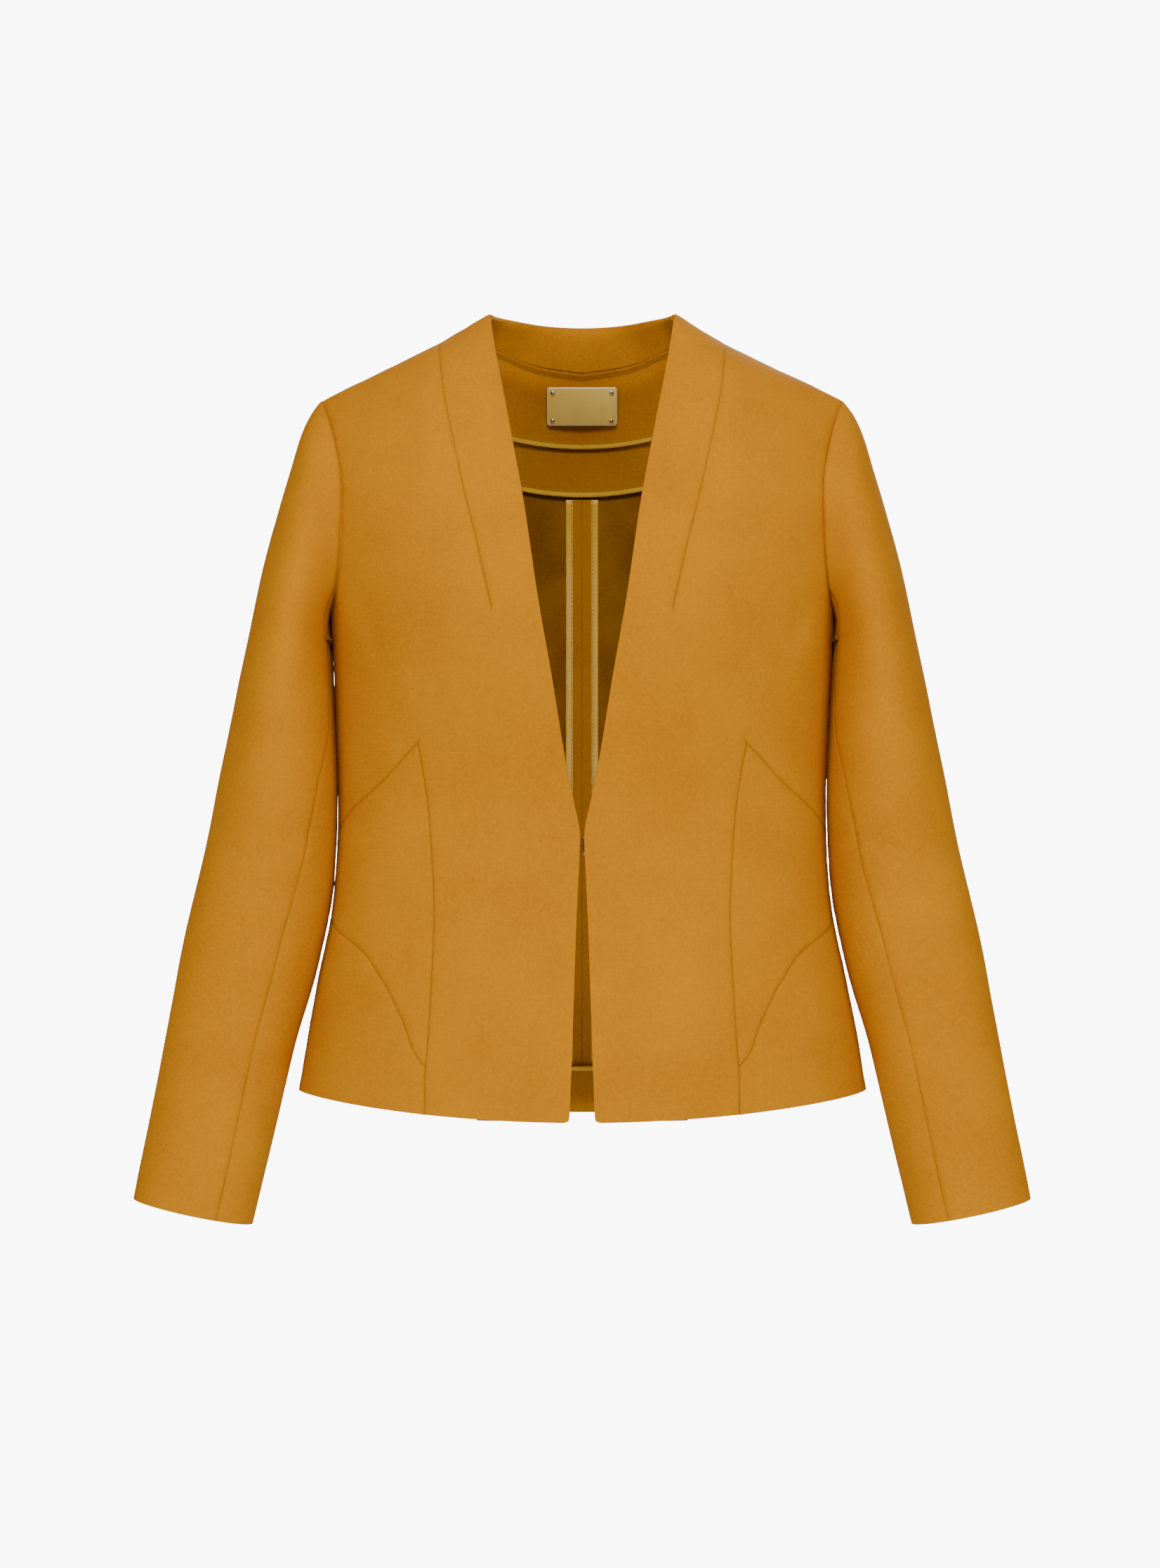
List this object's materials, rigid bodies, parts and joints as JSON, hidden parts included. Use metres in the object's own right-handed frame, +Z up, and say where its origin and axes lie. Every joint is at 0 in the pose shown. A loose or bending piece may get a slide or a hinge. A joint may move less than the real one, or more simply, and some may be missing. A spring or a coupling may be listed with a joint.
{
  "type": "collarless tailored jacket",
  "caption": "Hip-length fitted jacket with a stand neck, deep V front closed by a hook and eye, and two-piece sleeves.",
  "frame": {"origin": "between the two points of the stand neck, where a hanger's hook rises", "axes": "+Z up, front of the jacket towards -Y, wearer's right towards -X"},
  "size_m": [0.6698, 0.2357, 0.6836],
  "materials": {
    "jacket_cloth": "matte",
    "facing_cloth": "matte",
    "satin_binding": "satin",
    "hook_wire": "satin",
    "plate_brass": "satin",
    "wadding": "matte"
  },
  "bodies": {
    "torso": {"right_front_yoke_panel": "jacket_cloth", "right_side_front_panel": "jacket_cloth", "right_hip_panel": "jacket_cloth", "right_back_panel": "jacket_cloth", "right_side_back_panel": "jacket_cloth", "right_neck_front_facing": "facing_cloth", "right_hip_hem_facing": "facing_cloth", "right_centre_seam_allowance": "jacket_cloth", "right_centre_seam_binding": "satin_binding", "right_shoulder_pad": "wadding", "left_front_yoke_panel": "jacket_cloth", "left_side_front_panel": "jacket_cloth", "left_hip_panel": "jacket_cloth", "left_back_panel": "jacket_cloth", "left_side_back_panel": "jacket_cloth", "left_neck_front_facing": "facing_cloth", "left_hip_hem_facing": "facing_cloth", "left_centre_seam_allowance": "jacket_cloth", "left_centre_seam_binding": "satin_binding", "left_shoulder_pad": "wadding", "back_yoke_facing": "facing_cloth", "yoke_binding": "satin_binding", "back_neck_facing": "jacket_cloth", "neck_facing_binding": "satin_binding", "back_hem_facing": "facing_cloth", "back_hem_binding": "satin_binding", "back_collar": "jacket_cloth", "back_collar_facing": "jacket_cloth", "label_plate": "plate_brass", "plate_rivet_1": "hook_wire", "plate_rivet_2": "hook_wire", "plate_rivet_3": "hook_wire", "plate_rivet_4": "hook_wire"},
    "right_front": {"right_front_opening_panel": "jacket_cloth", "right_front_facing": "facing_cloth", "front_hook": "hook_wire"},
    "left_front": {"left_front_opening_panel": "jacket_cloth", "left_front_facing": "facing_cloth", "front_eye": "hook_wire"},
    "right_sleeve": {"right_top_sleeve_upper": "jacket_cloth", "right_under_sleeve_upper": "jacket_cloth", "right_sleeve_head": "wadding"},
    "right_lower_sleeve": {"right_top_sleeve_lower": "jacket_cloth", "right_under_sleeve_lower": "jacket_cloth", "right_cuff_facing": "facing_cloth"},
    "left_sleeve": {"left_top_sleeve_upper": "jacket_cloth", "left_under_sleeve_upper": "jacket_cloth", "left_sleeve_head": "wadding"},
    "left_lower_sleeve": {"left_top_sleeve_lower": "jacket_cloth", "left_under_sleeve_lower": "jacket_cloth", "left_cuff_facing": "facing_cloth"}
  },
  "joints": [
    {"name": "right_front_open", "type": "hinge", "parent": "torso", "child": "right_front", "pos_m": [-0.04094, -0.11493, -0.16], "axis": [-0.1327, 0.0163, -0.991], "range_deg": [0, 100]},
    {"name": "left_front_open", "type": "hinge", "parent": "torso", "child": "left_front", "pos_m": [0.04094, -0.11493, -0.16], "axis": [-0.1327, -0.0163, 0.991], "range_deg": [0, 100]},
    {"name": "right_sleeve_raise", "type": "hinge", "parent": "torso", "child": "right_sleeve", "pos_m": [-0.1964, 0, -0.064], "axis": [0, 1, 0], "range_deg": [0, 75]},
    {"name": "left_sleeve_raise", "type": "hinge", "parent": "torso", "child": "left_sleeve", "pos_m": [0.1964, 0, -0.064], "axis": [0, -1, 0], "range_deg": [0, 75]},
    {"name": "right_elbow_bend", "type": "hinge", "parent": "right_sleeve", "child": "right_lower_sleeve", "pos_m": [-0.2376, -0.05729, -0.4208], "axis": [-0.9774, 0, 0.2113], "range_deg": [0, 85], "stiffness_Nm_per_rad": 0.4, "springref_deg": -6.88},
    {"name": "left_elbow_bend", "type": "hinge", "parent": "left_sleeve", "child": "left_lower_sleeve", "pos_m": [0.2376, -0.05729, -0.4208], "axis": [-0.9774, 0, -0.2113], "range_deg": [0, 85], "stiffness_Nm_per_rad": 0.4, "springref_deg": -6.88}
  ]
}
